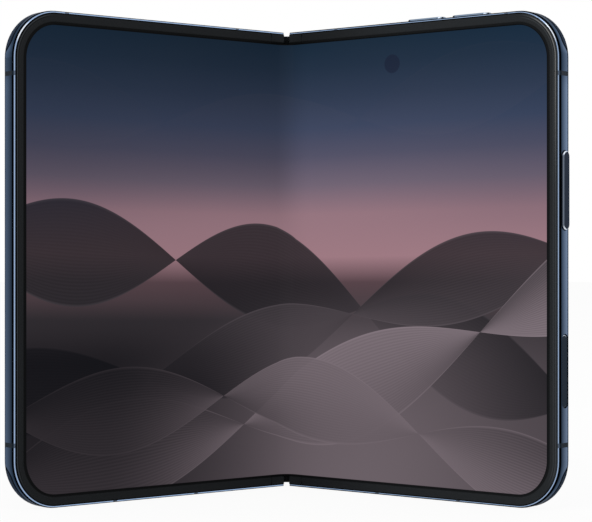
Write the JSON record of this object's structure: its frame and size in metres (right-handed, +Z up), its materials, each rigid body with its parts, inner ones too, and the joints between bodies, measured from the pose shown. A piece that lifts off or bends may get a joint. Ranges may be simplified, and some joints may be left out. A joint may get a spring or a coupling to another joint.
{
  "type": "foldable smartphone",
  "caption": "Book-style foldable smartphone with a wide inner screen, standing half open on its lower edges, with a geared hinge and pressable side buttons.",
  "frame": {"origin": "centre of the footprint at the level of the lower edges that the phone stands on, half open", "axes": "+Z up along the fold line, -Y the side that the inner screen faces, +X to the half with the buttons and rear cameras"},
  "size_m": [0.1355, 0.0553, 0.1211],
  "materials": {
    "frame_metal": "polished, dark blue coating",
    "spine_metal": "polished, dark blue coating",
    "band_plastic": "matt",
    "bezel_plastic": "satin",
    "screen": "gloss, lit picture",
    "steel": "plain",
    "bronze": "plain",
    "cell": "foil sleeve",
    "magnet": "nickel",
    "inner_plastic": "moulded",
    "dark_glass": "gloss glass",
    "back_glass": "satin glass",
    "ring_metal": "polished",
    "copper": "plain",
    "board": "lacquered",
    "lamp_plastic": "clear"
  },
  "bodies": {
    "spine": {"spine_cover": "spine_metal", "spine_end_plugs": "bezel_plastic", "hinge_bases": "steel", "hinge_base_screws": "steel", "friction_plates": "steel", "screen_fold": "screen"},
    "left_idler": {"left_idler_gears": "bronze"},
    "right_idler": {"right_idler_gears": "bronze"},
    "left_half": {"left_frame": "frame_metal", "left_antenna_bands": "band_plastic", "left_bezel": "bezel_plastic", "left_fold_caps": "bezel_plastic", "left_screen": "screen", "left_screen_plate": "steel", "left_wing_plate": "steel", "left_hinge_arms": "steel", "left_gear_shafts": "steel", "left_friction_discs": "bronze", "left_arm_screws": "steel", "left_battery": "cell", "left_magnets": "magnet", "left_speaker": "inner_plastic", "cover_glass": "dark_glass", "cover_screen": "dark_glass", "cover_camera": "inner_plastic"},
    "right_half": {"right_frame": "frame_metal", "right_antenna_bands": "band_plastic", "right_bezel": "bezel_plastic", "right_fold_caps": "bezel_plastic", "right_screen": "screen", "right_screen_plate": "steel", "right_wing_plate": "steel", "right_hinge_arms": "steel", "right_gear_shafts": "steel", "right_friction_discs": "bronze", "right_arm_screws": "steel", "right_battery": "cell", "right_magnets": "magnet", "right_speaker": "inner_plastic", "back_glass": "back_glass", "charging_coil": "copper", "main_board": "board", "board_shields": "steel", "inner_camera": "inner_plastic", "camera_plateau": "frame_metal", "lens_rings": "ring_metal", "lens_glasses": "dark_glass", "rear_camera_modules": "inner_plastic", "flash_lens": "lamp_plastic", "port_shell": "steel", "port_tongue": "inner_plastic", "vibration_motor": "inner_plastic", "button_switches": "steel"},
    "power_button": {"power_button": "spine_metal", "power_button_glass": "dark_glass"},
    "volume_up": {"volume_up_button": "spine_metal"},
    "volume_down": {"volume_down_button": "spine_metal"},
    "camera_key": {"camera_key": "dark_glass"}
  },
  "joints": [
    {"name": "left_fold", "type": "hinge", "parent": "spine", "child": "left_half", "pos_m": [-0.0021, 0.02406, 0], "axis": [0, 0, 1], "range_deg": [-38.25, 51.75], "deforming": ["screen_fold"]},
    {"name": "right_fold", "type": "hinge", "parent": "spine", "child": "right_half", "pos_m": [0.0021, 0.02406, 0], "axis": [0, 0, 1], "range_deg": [-51.75, 38.25], "deforming": ["screen_fold"]},
    {"name": "left_idler_turn", "type": "hinge", "parent": "spine", "child": "left_idler", "pos_m": [-0.0007, 0.02406, 0], "axis": [0, 0, 1], "range_deg": [-51.75, 38.25]},
    {"name": "right_idler_turn", "type": "hinge", "parent": "spine", "child": "right_idler", "pos_m": [0.0007, 0.02406, 0], "axis": [0, 0, 1], "range_deg": [-38.25, 51.75]},
    {"name": "power_press", "type": "slide", "parent": "right_half", "child": "power_button", "axis": [-0.7853, 0.6191, 0], "range_m": [0, 0.00025], "stiffness_N_per_m": 4000},
    {"name": "volume_up_press", "type": "slide", "parent": "right_half", "child": "volume_up", "axis": [0, 0, -1], "range_m": [0, 0.00025], "stiffness_N_per_m": 4000},
    {"name": "volume_down_press", "type": "slide", "parent": "right_half", "child": "volume_down", "axis": [0, 0, -1], "range_m": [0, 0.00025], "stiffness_N_per_m": 4000},
    {"name": "camera_key_press", "type": "slide", "parent": "right_half", "child": "camera_key", "axis": [-0.7853, 0.6191, 0], "range_m": [0, 0.00015], "stiffness_N_per_m": 4000}
  ],
  "couplings": [
    {"joint": "right_fold", "follows": "left_fold", "ratio": -1},
    {"joint": "left_idler_turn", "follows": "left_fold", "ratio": -1},
    {"joint": "right_idler_turn", "follows": "left_fold", "ratio": 1}
  ]
}
